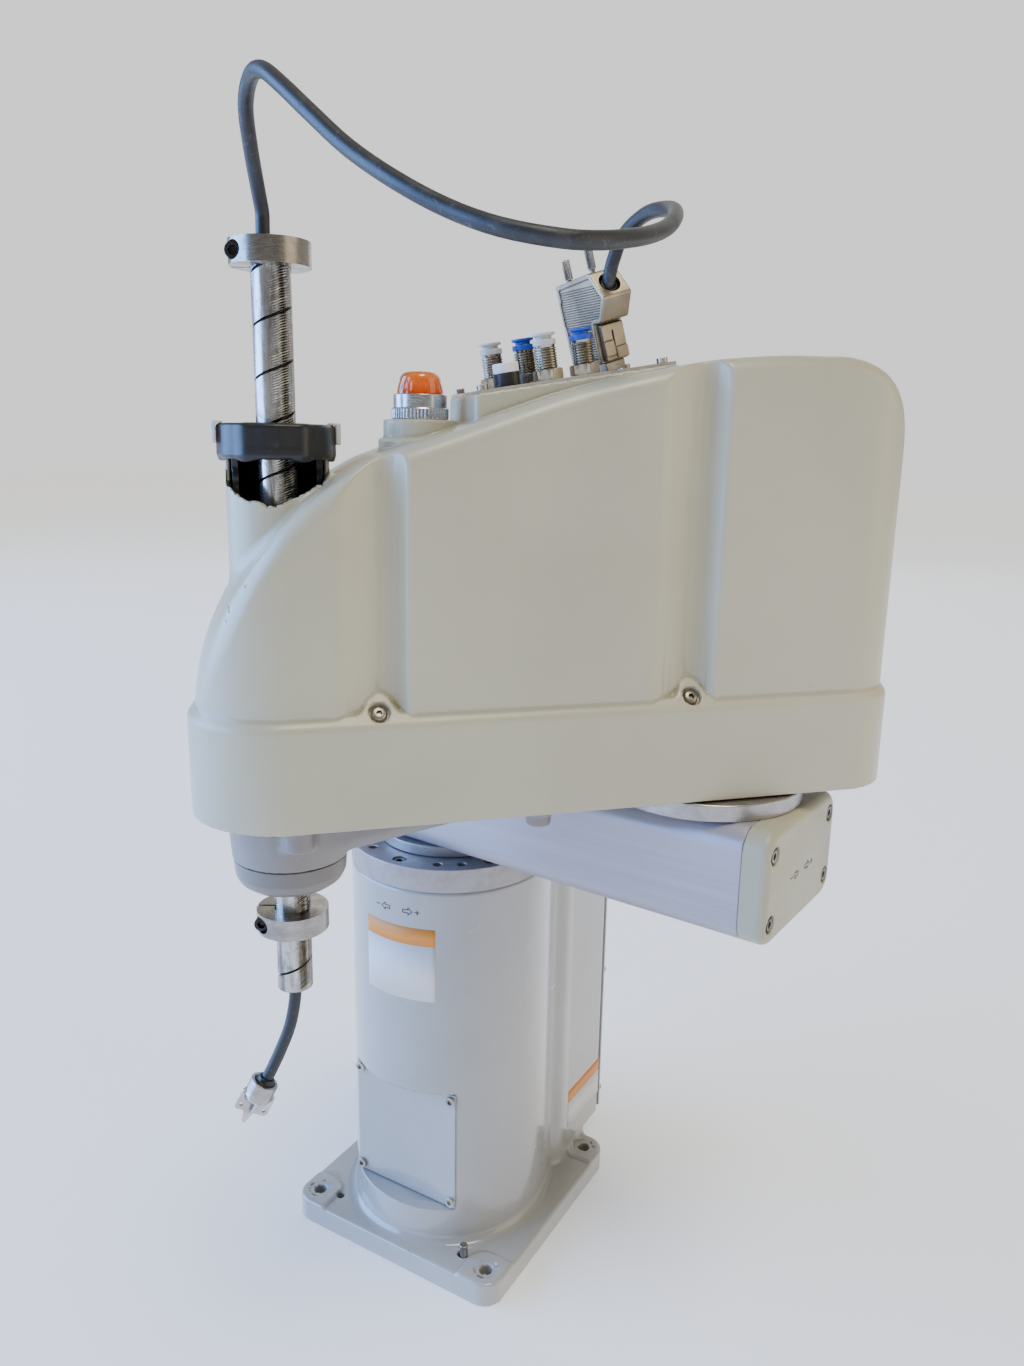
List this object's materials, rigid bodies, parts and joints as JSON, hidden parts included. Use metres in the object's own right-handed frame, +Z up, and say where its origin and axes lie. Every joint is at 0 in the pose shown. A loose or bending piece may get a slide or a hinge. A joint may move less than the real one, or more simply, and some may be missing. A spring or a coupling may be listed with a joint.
{
  "type": "scara robot arm",
  "caption": "Desk-size SCARA robot arm on a round pedestal, with a covered outer link, a sliding and turning tool shaft and a lead through it.",
  "frame": {"origin": "where the first joint's axis meets the mounting face", "axes": "+Z up along the first joint's axis, +X to the front of the base, over the flat access cover"},
  "size_m": [0.4186, 0.3852, 0.7514],
  "materials": {
    "base_paint": "glossy off-white powder coat",
    "cover_shell": "warm ivory-grey painted moulding, fine texture",
    "cap_plastic": "pale grey moulding",
    "beam_alloy": "pale coated extrusion",
    "machined_alloy": "turned",
    "cast_alloy": "painted casting",
    "nose_paint": "satin",
    "ground_steel": "ground, greased",
    "screw_steel": "bright plated",
    "dark_steel": "black oxide",
    "motor_body": "satin black",
    "black_plastic": "satin",
    "belt_rubber": "matte",
    "lead_jacket": "satin",
    "plug_shell": "nickel",
    "hood_nickel": "satin nickel",
    "lens_orange": "ribbed, clear tint",
    "ring_blue": "satin",
    "ring_grey": "satin",
    "button_white": "satin",
    "clip_white": "satin"
  },
  "bodies": {
    "base": {"base_casting": "base_paint", "base_access_cover": "base_paint", "base_panel_screws": "screw_steel", "base_rear_panel": "base_paint", "power_connector": "black_plastic", "signal_connector": "black_plastic", "base_air_fittings": "screw_steel", "dowel_pin": "ground_steel", "j1_motor": "motor_body", "j1_reducer": "ground_steel", "j1_flange_ring": "machined_alloy", "j1_flange_bolts": "dark_steel"},
    "arm1": {"j1_output_flange": "machined_alloy", "arm1_beam": "beam_alloy", "arm1_outer_cap": "cap_plastic", "arm1_inner_cap": "cap_plastic", "arm1_cap_screws": "screw_steel", "j2_flange_ring": "machined_alloy", "j2_reducer": "ground_steel"},
    "arm2": {"arm2_casting": "cast_alloy", "nose_cap": "nose_paint", "arm2_cover": "cover_shell", "arm2_cover_screws": "screw_steel", "connector_plate": "machined_alloy", "connector_plate_screws": "screw_steel", "lamp_base": "machined_alloy", "lamp_lens": "lens_orange", "brake_button_body": "black_plastic", "air_fitting_bodies": "screw_steel", "dsub_socket": "screw_steel", "dsub_hood": "hood_nickel", "hood_thumbscrews": "screw_steel", "j2_motor": "motor_body", "motor_bracket": "cast_alloy", "j3_motor": "motor_body", "j4_motor": "motor_body", "j3_belt": "belt_rubber", "j4_belt": "belt_rubber", "spline_bearing": "ground_steel", "ball_nut_housing": "cast_alloy", "tower_cap": "black_plastic", "tower_cap_clips": "clip_white", "lead_upper": "lead_jacket"},
    "brake_release": {"brake_button": "button_white"},
    "spline_drive": {"spline_nut": "ground_steel", "spline_nut_pulley": "machined_alloy"},
    "ball_drive": {"ball_nut": "ground_steel", "ball_nut_pulley": "machined_alloy"},
    "j3_pulley": {"j3_motor_pulley": "machined_alloy"},
    "j4_pulley": {"j4_motor_pulley": "machined_alloy"},
    "tool_shaft": {"spline_shaft": "ground_steel", "upper_collar": "machined_alloy", "lower_collar": "machined_alloy", "collar_screws": "dark_steel"},
    "tool_lead": {"lead_lower": "lead_jacket", "lead_plug": "plug_shell"},
    "tube_release_1": {"release_ring_1": "ring_grey"},
    "tube_release_2": {"release_ring_2": "ring_blue"},
    "tube_release_3": {"release_ring_3": "ring_grey"},
    "tube_release_4": {"release_ring_4": "ring_blue"}
  },
  "joints": [
    {"name": "j1_shoulder", "type": "hinge", "parent": "base", "child": "arm1", "pos_m": [0, 0, 0], "axis": [0, 0, 1], "range_deg": [-237, 67]},
    {"name": "j2_elbow", "type": "hinge", "parent": "arm1", "child": "arm2", "pos_m": [0.01743, 0.19924, 0], "axis": [0, 0, 1], "range_deg": [-18.8, 262]},
    {"name": "tool_roll", "type": "hinge", "parent": "arm2", "child": "spline_drive", "pos_m": [0.19817, 0.02652, 0], "axis": [0, 0, 1], "range_deg": [-360, 360]},
    {"name": "tool_z", "type": "slide", "parent": "spline_drive", "child": "tool_shaft", "axis": [0, 0, 1], "range_m": [-0.0735, 0.0155]},
    {"name": "ball_nut_turn", "type": "hinge", "parent": "spline_drive", "child": "ball_drive", "pos_m": [0.19817, 0.02652, 0], "axis": [0, 0, 1], "range_deg": [-230, 1065]},
    {"name": "j3_pulley_turn", "type": "hinge", "parent": "arm2", "child": "j3_pulley", "pos_m": [0.07165, 0.14742, 0], "axis": [0, 0, 1], "range_deg": [-355, 1670]},
    {"name": "j4_pulley_turn", "type": "hinge", "parent": "arm2", "child": "j4_pulley", "pos_m": [0.12588, 0.09561, 0], "axis": [0, 0, 1], "range_deg": [-570, 570]},
    {"name": "lead_slide", "type": "slide", "parent": "arm2", "child": "tool_lead", "axis": [0, 0, 1], "range_m": [-0.0735, 0.0155], "deforming": ["lead_upper"]},
    {"name": "brake_press", "type": "slide", "parent": "arm2", "child": "brake_release", "axis": [0.1212, -0.1158, 0.9859], "range_m": [-0.0025, 0], "stiffness_N_per_m": 400},
    {"name": "tube_release_1_press", "type": "slide", "parent": "arm2", "child": "tube_release_1", "axis": [0.1212, -0.1158, 0.9859], "range_m": [-0.001, 0], "stiffness_N_per_m": 300},
    {"name": "tube_release_2_press", "type": "slide", "parent": "arm2", "child": "tube_release_2", "axis": [0.1212, -0.1158, 0.9859], "range_m": [-0.001, 0], "stiffness_N_per_m": 300},
    {"name": "tube_release_3_press", "type": "slide", "parent": "arm2", "child": "tube_release_3", "axis": [0.1212, -0.1158, 0.9859], "range_m": [-0.001, 0], "stiffness_N_per_m": 300},
    {"name": "tube_release_4_press", "type": "slide", "parent": "arm2", "child": "tube_release_4", "axis": [0.1212, -0.1158, 0.9859], "range_m": [-0.001, 0], "stiffness_N_per_m": 300}
  ],
  "couplings": [
    {"joint": "ball_nut_turn", "follows": "tool_z", "rad_per_m": -251.33},
    {"joint": "j3_pulley_turn", "follows": "tool_z", "rad_per_m": -394.94},
    {"joint": "j4_pulley_turn", "follows": "tool_roll", "ratio": 1.5714},
    {"joint": "lead_slide", "follows": "tool_z", "ratio": 1}
  ]
}
